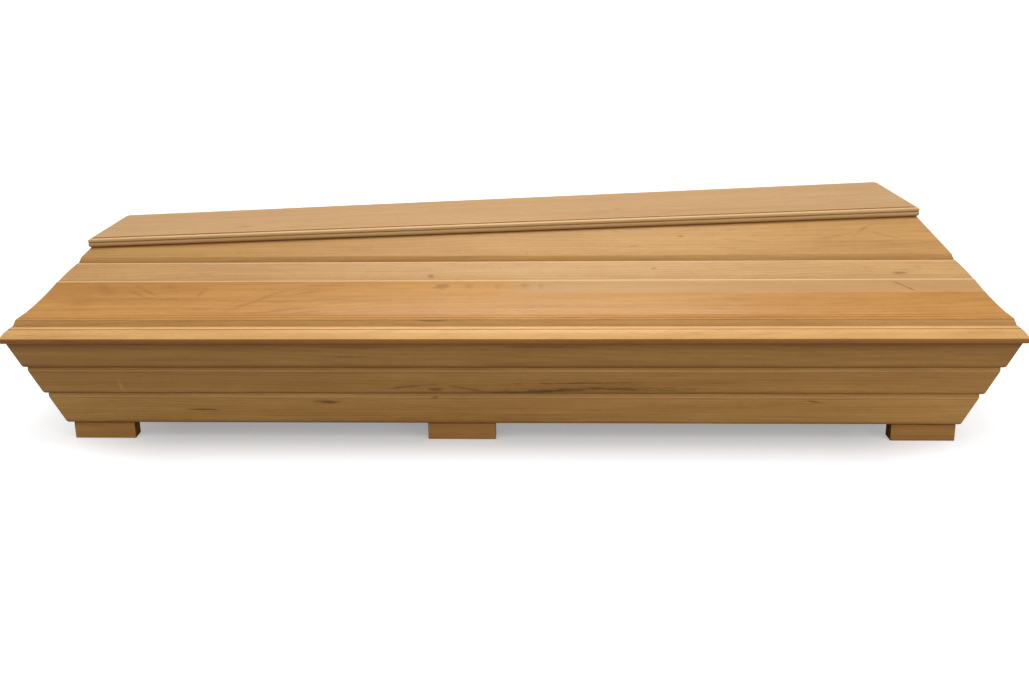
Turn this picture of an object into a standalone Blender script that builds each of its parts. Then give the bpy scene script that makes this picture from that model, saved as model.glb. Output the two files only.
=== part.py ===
"""A wooden coffin: stepped body on six blocks, and a loose lid with a sloping top panel.

The foot end is at -X, the head end at +X, and the front faces -Y. The origin is on the
ground, under the middle of the rim. Every board's cross-section is a closed list of
(inset, height) points. The inset is measured inwards from the tip of the lid's rim, square
to the side. The same section runs along the sides and round the ends, with mitred corners.
"""
import math

import bmesh
import bpy
from mathutils import Vector

# The plan, measured at the tip of the lid's rim
RIM_LENGTH = 2.060
RIM_WIDTH_FOOT = 0.535
RIM_WIDTH_HEAD = 0.710

# Space between pieces that touch
CLEARANCE = 0.0003

# Blocks under the body
BLOCK_HEIGHT = 0.036
BLOCK_DEPTH = 0.035
BLOCK_SETBACK = 0.002
END_BLOCK_LENGTH = 0.132
FOOT_BLOCK_INSET = 0.099
HEAD_BLOCK_INSET = 0.094
MIDDLE_BLOCK_LENGTH = 0.144
MIDDLE_BLOCK_X = -0.093

# Body: three boards high, each one set in under the one above
LOWER_BOARD_HEIGHT = 0.0770
MIDDLE_BOARD_HEIGHT = 0.0655
UPPER_BOARD_HEIGHT = 0.0590
BODY_WALL = 0.024
BODY_TOP_INSET = 0.0095
BODY_LEAN = 0.345
BOARD_STEP = 0.0065
BOARD_BAND = 0.009
BOARD_CHAMFER = 0.0015
BOARD_ARRIS_RADIUS = 0.005
FLOOR_THICKNESS = 0.018

# Lid: how far the ends lean in, as a share of how far the sides do
FOOT_END_RATIO = 1.07
HEAD_END_RATIO = 0.900
LID_WALL = 0.026

# Lid rim, from its tip inwards
RIM_EDGE = 0.0122
RIM_EDGE_EASE = 0.0012
RIM_UNDER_WIDTH = 0.0050
RIM_UNDER_RISE = 0.0066
RIM_SLOPE_WIDTH = 0.014
RIM_SLOPE_RISE = 0.0148
RIM_SLOPE_BULGE = 0.0010
RIM_QUIRK_WIDTH = 0.0020
RIM_QUIRK_DEPTH = 0.0020
RIM_LIP_WIDTH = 0.0057
RIM_LIP_RISE = 0.0034
RIM_STEP_WIDTH = 0.0050
RIM_STEP_RISE = 0.0126
RIM_RAIL_MARGIN = 0.003

# Cove boards: two small beads, then a hollow curve
BEAD_WIDTH = 0.0038
BEAD_RISE = 0.0030
BEAD_BULGE = 0.0008
BEAD_QUIRK = 0.0004
COVE_WIDTH = 0.0583
COVE_RISE = 0.0588
COVE_BEND = math.radians(14.0)

# Shoulder boards: set back a little, then a round curve
SHOULDER_LEDGE = 0.0018
SHOULDER_WIDTH = 0.0305
SHOULDER_RISE = 0.0302
SHOULDER_BEND = math.radians(-11.0)

# Upper boards: a steep lower edge, then a flat slope cut to a taper
UPPER_SETBACK = 0.0020
UPPER_EDGE_WIDTH = 0.0045
UPPER_EDGE_RISE = 0.0110
UPPER_SLOPE = 0.96

# Top panel: how far its underside is over the shoulder boards at the two ends of the rim's
# length, and its edge
PANEL_RISE_FOOT = 0.0250
PANEL_RISE_HEAD = 0.0815
PANEL_THICKNESS = 0.0200
PANEL_OVERHANG = 0.004
PANEL_ARRIS_SETBACK = 0.009
PANEL_QUIRK = 0.0022
PANEL_BEAD_DROP = 0.0078
PANEL_GROOVE = 0.0010
PANEL_BEAD_BULGE = 0.0016

# How many flat steps stand for a curve
ARRIS_STEPS = 4
SLOPE_STEPS = 4
BEAD_STEPS = 3
CURVE_STEPS = 8

FOOT = -1
HEAD = 1
FRONT = -1
BACK = 1
END_RATIO = {FOOT: FOOT_END_RATIO, HEAD: HEAD_END_RATIO}
PLAIN_RATIO = {FOOT: 1.0, HEAD: 1.0}

# Half the rim's width gained for each metre along it
SIDE_TURN = (RIM_WIDTH_HEAD - RIM_WIDTH_FOOT) / (2 * RIM_LENGTH)
SIDE_STRETCH = math.hypot(1.0, SIDE_TURN)

# The panel's rise for each metre along the coffin
PANEL_SLOPE = (PANEL_RISE_HEAD - PANEL_RISE_FOOT) / RIM_LENGTH

WOODS = {
    "body": (0.300, 0.155, 0.055),
    "block": (0.280, 0.140, 0.048),
    "floor": (0.420, 0.245, 0.110),
    "rim": (0.520, 0.285, 0.100),
    "cove": (0.500, 0.240, 0.070),
    "shoulder": (0.560, 0.330, 0.130),
    "upper": (0.540, 0.290, 0.105),
    "panel": (0.560, 0.340, 0.150),
}
LACQUER_ROUGHNESS = 0.38


def half_width(x):
    """Half the rim's width at a place along it."""
    return (RIM_WIDTH_FOOT + RIM_WIDTH_HEAD) / 4 + SIDE_TURN * x


def plan_point(end, side, inset, ratio):
    """Where an inset line turns the corner, in plan."""
    x = end * (RIM_LENGTH / 2 - inset * ratio[end])
    y = side * (half_width(x) - inset * SIDE_STRETCH)
    return x, y


def arc(start, finish, bend, steps):
    """Points from start to finish on a curve that turns by the angle bend."""
    chord = Vector(finish) - Vector(start)
    normal = Vector((chord.y, -chord.x))
    points = []
    for i in range(steps + 1):
        t = i / steps
        sag = math.tan(bend / 4) * 2 * t * (1 - t)
        points.append(tuple(Vector(start) + chord * t + normal * sag))
    return points


def loft(bm, loops):
    """Joins equal closed loops of points into a body, with its two ends filled."""
    rings = [[bm.verts.new(point) for point in loop] for loop in loops]
    for first, second in zip(rings, rings[1:]):
        count = len(first)
        for i in range(count):
            j = (i + 1) % count
            bm.faces.new((first[i], first[j], second[j], second[i]))
    bm.faces.new(rings[0])
    bm.faces.new(rings[-1])


def new_object(name, loops, wood):
    """Links the body lofted through the loops as a named object with its own material."""
    bm = bmesh.new()
    loft(bm, loops)
    bmesh.ops.recalc_face_normals(bm, faces=bm.faces)
    mesh = bpy.data.meshes.new(name)
    bm.to_mesh(mesh)
    bm.free()
    material = bpy.data.materials.new(name)
    material.use_nodes = True
    shader = material.node_tree.nodes["Principled BSDF"]
    shader.inputs["Base Color"].default_value = (*WOODS[wood], 1.0)
    shader.inputs["Roughness"].default_value = LACQUER_ROUGHNESS
    shader.inputs["Metallic"].default_value = 0.0
    mesh.materials.append(material)
    obj = bpy.data.objects.new(name, mesh)
    bpy.context.scene.collection.objects.link(obj)
    return obj


def board_loop(section, end, side, ratio, shift):
    """A section's outline on the mitre of one corner, moved off the mitre by shift."""
    points = []
    for inset, height in section:
        x, y = plan_point(end, side, inset, ratio)
        points.append((x + shift[0], y + shift[1], height))
    return points


def board_frame(name, sections, ratio, wood):
    """Four mitred boards with the section given for each end of the coffin."""
    back_off = CLEARANCE / math.sqrt(2)
    for side, word in ((FRONT, "front"), (BACK, "back")):
        loops = []
        for end in (FOOT, HEAD):
            shift = (-end * back_off, -end * side * back_off * SIDE_TURN)
            loops.append(board_loop(sections[end], end, side, ratio, shift))
        new_object(f"{name}_{word}", loops, wood)
    for end, word in ((FOOT, "foot_end"), (HEAD, "head_end")):
        loops = []
        for side in (FRONT, BACK):
            shift = (0.0, -side * back_off)
            loops.append(board_loop(sections[end], end, side, ratio, shift))
        new_object(f"{name}_{word}", loops, wood)


def both_ends(section):
    """The same section at the foot and at the head."""
    return {FOOT: section, HEAD: section}


def body_section(bottom, height, top_inset, band):
    """A body board: a short upright band at its top, then a lean inwards to a round arris."""
    top = bottom + height
    foot_inset = top_inset + BODY_LEAN * (height - band)
    radius = BOARD_ARRIS_RADIUS
    section = [(top_inset + BODY_WALL, top), (foot_inset + BODY_WALL, bottom)]
    for i in range(ARRIS_STEPS + 1):
        turn = math.pi / 2 * i / ARRIS_STEPS
        rise = radius * (1 - math.cos(turn))
        inset = foot_inset + radius * (1 - math.sin(turn)) - BODY_LEAN * rise
        section.append((inset, bottom + rise))
    if band > 0:
        section.append((top_inset, top - band))
        section.append((top_inset, top - BOARD_CHAMFER))
        section.append((top_inset + BOARD_CHAMFER, top))
    else:
        section.append((top_inset, top))
    return section, foot_inset


def build_body():
    """Twelve wall boards, worked out from the top down, and the floor between the lowest."""
    top = body_top()
    inset = BODY_TOP_INSET
    rows = (
        ("body_upper_board", UPPER_BOARD_HEIGHT, 0.0),
        ("body_middle_board", MIDDLE_BOARD_HEIGHT, BOARD_BAND),
        ("body_lower_board", LOWER_BOARD_HEIGHT, BOARD_BAND),
    )
    for name, height, band in rows:
        bottom = top - height
        section, foot_inset = body_section(bottom, height, inset, band)
        board_frame(name, both_ends(section), PLAIN_RATIO, "body")
        top = bottom - CLEARANCE
        inset = foot_inset + BOARD_STEP
    inner_lean = (section[1][0] - section[0][0]) / height
    build_floor(foot_inset + BODY_WALL + CLEARANCE, inner_lean)
    return foot_inset


def body_top():
    """The height of the walls' upper edge."""
    boards = LOWER_BOARD_HEIGHT + MIDDLE_BOARD_HEIGHT + UPPER_BOARD_HEIGHT
    return BLOCK_HEIGHT + boards + 3 * CLEARANCE


def build_floor(bottom_inset, inner_lean):
    """The floor board, its edges bevelled to the inner faces of the walls."""
    bottom = BLOCK_HEIGHT + CLEARANCE
    loops = []
    for rise in (0.0, FLOOR_THICKNESS):
        inset = bottom_inset - inner_lean * rise
        corners = ((FOOT, FRONT), (HEAD, FRONT), (HEAD, BACK), (FOOT, BACK))
        loop = [(*plan_point(end, side, inset, PLAIN_RATIO), bottom + rise) for end, side in corners]
        loops.append(loop)
    new_object("floor_board", loops, "floor")


def block_outline(x, length, side, face_inset, height):
    """A block's four corners at one height, square to the coffin's side."""
    points = []
    for along, depth in ((-0.5, 0.0), (0.5, 0.0), (0.5, BLOCK_DEPTH), (-0.5, BLOCK_DEPTH)):
        corner_x = x + along * length
        corner_y = side * (half_width(corner_x) - (face_inset + depth) * SIDE_STRETCH)
        points.append((corner_x, corner_y, height))
    return points


def build_blocks(wall_inset):
    """Three blocks under each side, turned with the side, behind its lower arris."""
    end_x = (RIM_LENGTH - END_BLOCK_LENGTH) / 2
    places = (
        ("block_foot_end", FOOT_BLOCK_INSET - end_x, END_BLOCK_LENGTH),
        ("block_middle", MIDDLE_BLOCK_X, MIDDLE_BLOCK_LENGTH),
        ("block_head_end", end_x - HEAD_BLOCK_INSET, END_BLOCK_LENGTH),
    )
    face_inset = wall_inset + BLOCK_SETBACK
    for name, x, length in places:
        for side, word in ((FRONT, "front"), (BACK, "back")):
            loops = [block_outline(x, length, side, face_inset, z) for z in (0.0, BLOCK_HEIGHT)]
            new_object(f"{name}_{word}", loops, "block")


def rim_section(bottom):
    """The lid's rim rail: thin edge round below, round slope, quirk, lip and step, flat inside."""
    slope_top = bottom + RIM_EDGE + RIM_SLOPE_RISE
    lip_inset = RIM_SLOPE_WIDTH + RIM_QUIRK_WIDTH
    lip_end = lip_inset + RIM_LIP_WIDTH
    lip_top = slope_top + RIM_LIP_RISE
    top = lip_top + RIM_STEP_RISE
    cove_inset = lip_end + RIM_STEP_WIDTH
    inner = cove_inset + LID_WALL + RIM_RAIL_MARGIN
    bend = -4 * math.atan(2 * RIM_SLOPE_BULGE / math.hypot(RIM_SLOPE_WIDTH, RIM_SLOPE_RISE))
    slope = arc((RIM_EDGE_EASE, bottom + RIM_EDGE), (RIM_SLOPE_WIDTH, slope_top), bend, SLOPE_STEPS)
    section = [(inner, top), (inner, bottom)]
    section.extend(arc((RIM_UNDER_WIDTH, bottom), (0.0, bottom + RIM_UNDER_RISE), -math.pi / 2, ARRIS_STEPS))
    section.append((0.0, bottom + RIM_EDGE - RIM_EDGE_EASE))
    section.extend(slope)
    section.append((RIM_SLOPE_WIDTH, slope_top - RIM_QUIRK_DEPTH))
    section.append((lip_inset, slope_top - RIM_QUIRK_DEPTH))
    section.append((lip_inset, slope_top))
    section.append((lip_inset + RIM_EDGE_EASE, slope_top + RIM_EDGE_EASE))
    section.append((lip_end, lip_top))
    section.append((cove_inset, top))
    return section, cove_inset, top


def cove_section(start_inset, bottom):
    """A cove board: two beads over the step, then a hollow curve up to a sharp edge."""
    section = []
    inset = start_inset
    height = bottom
    bead_bend = -4 * math.atan(2 * BEAD_BULGE / math.hypot(BEAD_WIDTH, BEAD_RISE))
    for _ in range(2):
        finish = (inset + BEAD_WIDTH, height + BEAD_RISE)
        section.extend(arc((inset, height), finish, bead_bend, BEAD_STEPS))
        inset = finish[0] + BEAD_QUIRK
        height = finish[1] - BEAD_QUIRK
        section.append((inset, height))
        inset += BEAD_QUIRK
        height += 2 * BEAD_QUIRK
    edge = (inset + COVE_WIDTH, height + COVE_RISE)
    section.extend(arc((inset, height), edge, COVE_BEND, CURVE_STEPS))
    section.append((edge[0] + LID_WALL, edge[1]))
    section.append((start_inset + LID_WALL, bottom))
    return section, edge[0], edge[1]


def shoulder_section(start_inset, bottom):
    """A shoulder board: it carries the cove on with a round curve."""
    edge = (start_inset + SHOULDER_WIDTH, bottom + SHOULDER_RISE)
    section = arc((start_inset, bottom), edge, SHOULDER_BEND, CURVE_STEPS)
    section.append((edge[0] + LID_WALL, edge[1]))
    section.append((start_inset + LID_WALL, bottom))
    return section, edge[0], edge[1]


def panel_height(x, shoulder_top):
    """The height of the top panel's underside at a place along the coffin."""
    rise = PANEL_SLOPE * x + (PANEL_RISE_FOOT + PANEL_RISE_HEAD) / 2
    return shoulder_top + rise


def slope_under_panel(end, start_inset, start_height, shoulder_top):
    """Where a sloping face meets the panel's underside on the mitre of one end."""
    start_x = end * (RIM_LENGTH / 2 - start_inset * END_RATIO[end])
    start_gap = panel_height(start_x, shoulder_top) - CLEARANCE - start_height
    climb = start_gap / (1 + end * PANEL_SLOPE * END_RATIO[end] * UPPER_SLOPE)
    return start_inset + UPPER_SLOPE * climb, start_height + climb


def upper_section(end, start_inset, shoulder_top):
    """An upper board's section at one end: steep lower edge, flat slope, cut under the panel."""
    bottom = shoulder_top + CLEARANCE
    arris = (start_inset + UPPER_EDGE_WIDTH, bottom + UPPER_EDGE_RISE)
    inner_foot = arris[0] + LID_WALL - UPPER_SLOPE * UPPER_EDGE_RISE
    top_outer = slope_under_panel(end, arris[0], arris[1], shoulder_top)
    top_inner = slope_under_panel(end, inner_foot, bottom, shoulder_top)
    return [(start_inset, bottom), arris, top_outer, top_inner, (inner_foot, bottom)]


def panel_profile():
    """The panel's edge as (setback from the nose, depth below the top face) points."""
    arris = PANEL_ARRIS_SETBACK
    lower = PANEL_THICKNESS - PANEL_BEAD_DROP - PANEL_QUIRK
    bead_top = PANEL_QUIRK + PANEL_BEAD_BULGE
    groove_depth = PANEL_QUIRK + PANEL_BEAD_DROP
    profile = [(arris, 0.0), (arris, PANEL_QUIRK), (arris / 2, PANEL_QUIRK)]
    profile.append((PANEL_BEAD_BULGE, bead_top))
    profile.append((0.0, bead_top + PANEL_BEAD_BULGE))
    profile.append((0.0, groove_depth - PANEL_GROOVE))
    profile.append((PANEL_GROOVE, groove_depth))
    profile.append((0.0, groove_depth + PANEL_GROOVE))
    profile.append((0.0, groove_depth + lower / 2))
    profile.append((lower / 4, PANEL_THICKNESS - lower / 8))
    profile.append((lower / 2, PANEL_THICKNESS))
    return profile


def build_panel(top_insets, shoulder_top):
    """The sloping top panel, a little wider than the boards that carry it."""
    nose = {}
    for end in (FOOT, HEAD):
        x, y = plan_point(end, BACK, top_insets[end], END_RATIO)
        nose[end] = (x + end * PANEL_OVERHANG, y + PANEL_OVERHANG)
    turn = (nose[HEAD][1] - nose[FOOT][1]) / (nose[HEAD][0] - nose[FOOT][0])
    loops = []
    for setback, depth in panel_profile():
        loop = []
        for end, side in ((FOOT, FRONT), (HEAD, FRONT), (HEAD, BACK), (FOOT, BACK)):
            x = nose[end][0] - end * setback
            y = nose[FOOT][1] + turn * (x - nose[FOOT][0]) - setback
            loop.append((x, side * y, panel_height(x, shoulder_top) + PANEL_THICKNESS - depth))
        loops.append(loop)
    new_object("lid_top_panel", loops, "panel")


def build_lid():
    """The lid's four rows of mitred boards, from the rim up, and the panel on them."""
    section, inset, top = rim_section(body_top() + CLEARANCE)
    board_frame("lid_rim", both_ends(section), END_RATIO, "rim")
    section, inset, top = cove_section(inset, top + CLEARANCE)
    board_frame("lid_cove_board", both_ends(section), END_RATIO, "cove")
    section, inset, top = shoulder_section(inset + SHOULDER_LEDGE, top + CLEARANCE)
    board_frame("lid_shoulder_board", both_ends(section), END_RATIO, "shoulder")
    sections = {end: upper_section(end, inset + UPPER_SETBACK, top) for end in (FOOT, HEAD)}
    board_frame("lid_upper_board", sections, END_RATIO, "upper")
    top_insets = {end: section[2][0] for end, section in sections.items()}
    build_panel(top_insets, top)


def main():
    """Clears the scene and builds the coffin."""
    for obj in list(bpy.data.objects):
        bpy.data.objects.remove(obj, do_unlink=True)
    wall_inset = build_body()
    build_blocks(wall_inset)
    build_lid()


main()
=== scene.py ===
"""The looks of a wooden coffin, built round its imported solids.

The foot end is at -X, the head end at +X, and the front faces -Y. Every board is swept
between two mitres from a section of (inset, height) points. The inset is measured inwards
from the tip of the lid's rim, square to the side. Each board is cut from its own plank, so
its grain, tone and marks are its own.
"""
import logging
import math
import random
import sys
from dataclasses import dataclass, replace
from enum import Enum

import bmesh
import bpy
from mathutils import Matrix, Vector


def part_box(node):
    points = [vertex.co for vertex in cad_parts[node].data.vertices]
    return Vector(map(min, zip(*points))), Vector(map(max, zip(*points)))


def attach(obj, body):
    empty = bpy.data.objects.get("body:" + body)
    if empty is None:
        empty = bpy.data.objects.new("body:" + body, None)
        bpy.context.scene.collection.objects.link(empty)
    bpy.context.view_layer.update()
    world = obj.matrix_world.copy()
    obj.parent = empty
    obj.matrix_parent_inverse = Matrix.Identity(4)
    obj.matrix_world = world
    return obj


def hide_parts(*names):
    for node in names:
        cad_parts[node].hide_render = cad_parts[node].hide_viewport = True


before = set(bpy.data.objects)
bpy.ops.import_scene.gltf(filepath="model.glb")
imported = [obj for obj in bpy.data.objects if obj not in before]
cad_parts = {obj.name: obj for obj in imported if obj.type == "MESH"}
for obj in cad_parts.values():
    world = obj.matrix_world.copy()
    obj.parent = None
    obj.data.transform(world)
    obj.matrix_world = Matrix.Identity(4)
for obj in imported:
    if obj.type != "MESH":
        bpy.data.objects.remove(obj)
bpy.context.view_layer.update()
BODY = "root"
LOG = logging.getLogger("coffin")

SHARP_ANGLE = math.radians(32.0)
ARRIS_ANGLE = math.radians(30.0)
ARRIS_SEGMENTS = 3
EASE_STEPS = 4
REAR_EASE = 0.001
SENSOR_WIDTH = 36.0
FOCAL_PIXELS = 1200.0
IMAGE_WIDTH = 1029.0
PANEL_SEED = 61
FLOOR_SEED = 71
BLOCK_SEED = 80

Rgb = tuple[float, float, float]
Spot = tuple[float, float]

# Each noise in the wood: how often it changes in a metre along, across and up the grain, how
# many finer layers it has, and how far it distorts itself.
NOISES = {
    "cloud": ((0.9, 7.0, 7.0), 3.0, 0.4),
    "drift": ((1.1, 6.0, 6.0), 2.0),
    "strand": ((1.6, 95.0, 95.0), 3.0),
    "fibre": ((5.0, 420.0, 420.0), 2.0),
    "fleck": ((26.0, 130.0, 130.0), 2.0),
    "flame": ((2.6, 26.0, 26.0), 3.0, 1.2),
    "pore": ((70.0, 1100.0, 1100.0), 1.0),
    "dry": ((2.2, 60.0, 60.0), 2.0),
    "dash": ((14.0, 300.0, 300.0), 2.0),
    "patch": ((3.0, 20.0, 20.0), 1.0),
    "rough": ((45.0, 260.0, 260.0), 3.0),
}


class End(Enum):
    """The two ends of the coffin, as the sign of X."""

    FOOT = -1
    HEAD = 1


class Side(Enum):
    """The two long sides of the coffin, as the sign of Y."""

    FRONT = -1
    BACK = 1


# The corners in order, seen from above.
CORNERS = ((End.FOOT, Side.FRONT), (End.HEAD, Side.FRONT), (End.HEAD, Side.BACK), (End.FOOT, Side.BACK))


class Place(Enum):
    """Where a board stands in a frame of four, as the two corners it runs between."""

    FRONT = ("front", (End.FOOT, Side.FRONT), (End.HEAD, Side.FRONT))
    BACK = ("back", (End.FOOT, Side.BACK), (End.HEAD, Side.BACK))
    FOOT_END = ("foot_end", (End.FOOT, Side.FRONT), (End.FOOT, Side.BACK))
    HEAD_END = ("head_end", (End.HEAD, Side.FRONT), (End.HEAD, Side.BACK))

    @property
    def word(self) -> str:
        """The word that ends the board's name."""
        return self.value[0]

    @property
    def corners(self) -> tuple[tuple[End, Side], tuple[End, Side]]:
        """The corners that the board starts and finishes at."""
        return self.value[1], self.value[2]

    @property
    def lengthwise(self) -> bool:
        """Whether the board runs along the coffin."""
        return self in (Place.FRONT, Place.BACK)


class MarkKind(Enum):
    """What a natural mark in the wood looks like."""

    KNOT = "knot"
    STREAK = "streak"
    SHADE = "shade"
    PALE = "pale"
    STRIP = "strip"


# Where each kind of mark reaches its full strength, as a share of its half length. A share under
# nought keeps it faint. The edge is where it ends, and the raggedness breaks that edge up.
MARK_CORE = {MarkKind.KNOT: 0.30, MarkKind.STREAK: 0.20, MarkKind.SHADE: -0.4, MarkKind.PALE: 0.1}
MARK_EDGE = 1.15
MARK_RAGGED = 2.6


class Value:
    """A number at a node's output. Python's operators on it add Math nodes."""

    def __init__(self, sheet: "NodeSheet", socket: bpy.types.NodeSocket) -> None:
        """Wraps an output socket.

        Args:
            sheet: The sheet that the socket's node is on.
            socket: The output to read.
        """
        self.sheet = sheet
        self.socket = socket

    def math(self, operation: str, *values: "Value | float", clamp: bool = False) -> "Value":
        """Adds one Math node.

        Args:
            operation: The Math node's operation.
            values: What goes into its sockets, in order.
            clamp: Whether the result is kept between 0 and 1.

        Returns:
            The node's result.
        """
        settings = {"operation": operation, "use_clamp": clamp}
        node = self.sheet.node("ShaderNodeMath", settings, dict(enumerate(values)))
        return Value(self.sheet, node.outputs[0])

    def __add__(self, other: "Value | float") -> "Value":
        """This plus another."""
        return self.math("ADD", self, other)

    __radd__ = __add__

    def __sub__(self, other: "Value | float") -> "Value":
        """This less another."""
        return self.math("SUBTRACT", self, other)

    def __rsub__(self, other: float) -> "Value":
        """A number less this."""
        return self.math("SUBTRACT", other, self)

    def __mul__(self, other: "Value | float") -> "Value":
        """This times another."""
        return self.math("MULTIPLY", self, other)

    __rmul__ = __mul__

    def __truediv__(self, other: "Value | float") -> "Value":
        """This divided by another."""
        return self.math("DIVIDE", self, other)

    def __pow__(self, other: float) -> "Value":
        """This to a power."""
        return self.math("POWER", self, other)

    def clamped(self) -> "Value":
        """This, kept between 0 and 1."""
        return self.math("ADD", self, 0.0, clamp=True)

    def wave(self) -> "Value":
        """A wave from 0 to 1 that repeats each time this gains one."""
        return self.math("SINE", self * math.tau) * 0.5 + 0.5

    def between(self, low: float, high: float) -> "Value":
        """A smooth step.

        Args:
            low: Where the step starts, at 0.
            high: Where it ends, at 1. It may be under low, and the step then falls.

        Returns:
            The step's height.
        """
        settings = {"interpolation_type": "SMOOTHSTEP", "clamp": True}
        if low < high:
            inputs = {0: self, 1: low, 2: high, 3: 0.0, 4: 1.0}
        else:
            inputs = {0: self, 1: high, 2: low, 3: 1.0, 4: 0.0}
        node = self.sheet.node("ShaderNodeMapRange", settings, inputs)
        return Value(self.sheet, node.outputs[0])


class NodeSheet:
    """The nodes of one material, world or geometry tree, added one at a time."""

    def __init__(self, tree: bpy.types.NodeTree) -> None:
        """Empties a tree to write on.

        Args:
            tree: The tree that the nodes go into.
        """
        self.tree = tree
        tree.nodes.clear()

    def node(self, kind: str, settings: dict | None = None, inputs: dict | None = None) -> bpy.types.Node:
        """Adds one node, with its settings made before its sockets are filled.

        Args:
            kind: The node's type.
            settings: Its properties by name.
            inputs: Values, sockets or wrapped values, by the name or number of the socket.

        Returns:
            The new node.
        """
        node = self.tree.nodes.new(kind)
        for name, value in (settings or {}).items():
            setattr(node, name, value)
        for key, value in (inputs or {}).items():
            source = value.socket if isinstance(value, Value) else value
            if isinstance(source, bpy.types.NodeSocket):
                self.tree.links.new(source, node.inputs[key])
            else:
                node.inputs[key].default_value = source
        return node

    def value(self, socket: bpy.types.NodeSocket) -> Value:
        """Wraps an output socket as a value."""
        return Value(self, socket)

    def attribute(self, name: str) -> Value:
        """The number that the mesh carries under a name."""
        return self.value(self.node("ShaderNodeAttribute", {"attribute_name": name}).outputs["Fac"])

    def split(self, vector: bpy.types.NodeSocket) -> tuple[Value, ...]:
        """A vector's x, y and z."""
        return tuple(self.value(s) for s in self.node("ShaderNodeSeparateXYZ", None, {0: vector}).outputs)

    def noise(self, place: bpy.types.NodeSocket, pitch: Rgb, detail: float = 2.0,
              twist: float = 0.0) -> Value:
        """Noise with its own pitch along each axis.

        Args:
            place: The coordinates.
            pitch: How many times a metre it changes along each axis.
            detail: How many finer layers are added.
            twist: How far it distorts itself.

        Returns:
            The noise, about 0.5.
        """
        scaled = self.node("ShaderNodeVectorMath", {"operation": "MULTIPLY"}, {0: place, 1: pitch})
        inputs = {"Vector": scaled.outputs[0], "Scale": 1.0, "Detail": detail, "Distortion": twist}
        return self.value(self.node("ShaderNodeTexNoise", None, inputs).outputs[0])

    def blend(self, share: Value | float, first: object, second: object,
              mode: str = "MIX") -> bpy.types.NodeSocket:
        """Mixes two colours.

        Args:
            share: How much of the second colour shows.
            first: A colour or a colour socket.
            second: A colour or a colour socket.
            mode: How the second lies over the first.

        Returns:
            The mixed colour's socket.
        """
        colours = [(*c, 1.0) if isinstance(c, tuple) else c for c in (first, second)]
        inputs = {0: share, 6: colours[0], 7: colours[1]}
        return self.node("ShaderNodeMix", {"data_type": "RGBA", "blend_type": mode}, inputs).outputs[2]


@dataclass(frozen=True)
class Mark:
    """One natural mark in a board, placed on the object in metres.

    The field z is a height on an upright board, and a place across the coffin on the flat panel.
    """

    kind: MarkKind
    x: float
    z: float
    length: float
    height: float
    slope: float = 0.0
    strength: float = 1.0

    def mask(self, x: Value, z: Value, ragged: Value) -> Value:
        """Where the mark shows.

        Args:
            x: Place along the coffin.
            z: Height, or on the flat panel the place across.
            ragged: Noise that breaks up the mark's edge.

        Returns:
            The mark's strength, from 0 to 1.
        """
        cos, sin = math.cos(self.slope), math.sin(self.slope)
        across = x - self.x
        up = z - self.z
        along = (across * cos + up * sin) / (self.length / 2)
        beside = (up * cos - across * sin) / (self.height / 2)
        if self.kind is MarkKind.STRIP:
            start = along.between(-1.0, -0.8)
            grained = (1.32 - ragged * 0.64) * self.strength
            return start * along.between(1.0, 0.97) * beside.between(-1.06, -0.94) * grained
        distance = (along * along + beside * beside) ** 0.5 + (ragged - 0.5) * MARK_RAGGED
        return distance.between(MARK_EDGE, MARK_CORE[self.kind]) * self.strength


@dataclass(frozen=True)
class Cut:
    """How one board was cut from its plank: where from, which way its grain runs, and its marks."""

    offset: Rgb
    turn: float
    heart: Spot
    marks: tuple[Mark, ...] = ()
    flat: bool = False


def dyed(colour: Rgb, share: float) -> Rgb:
    """A colour made darker or paler by a share."""
    return tuple(share * channel for channel in colour)


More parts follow.
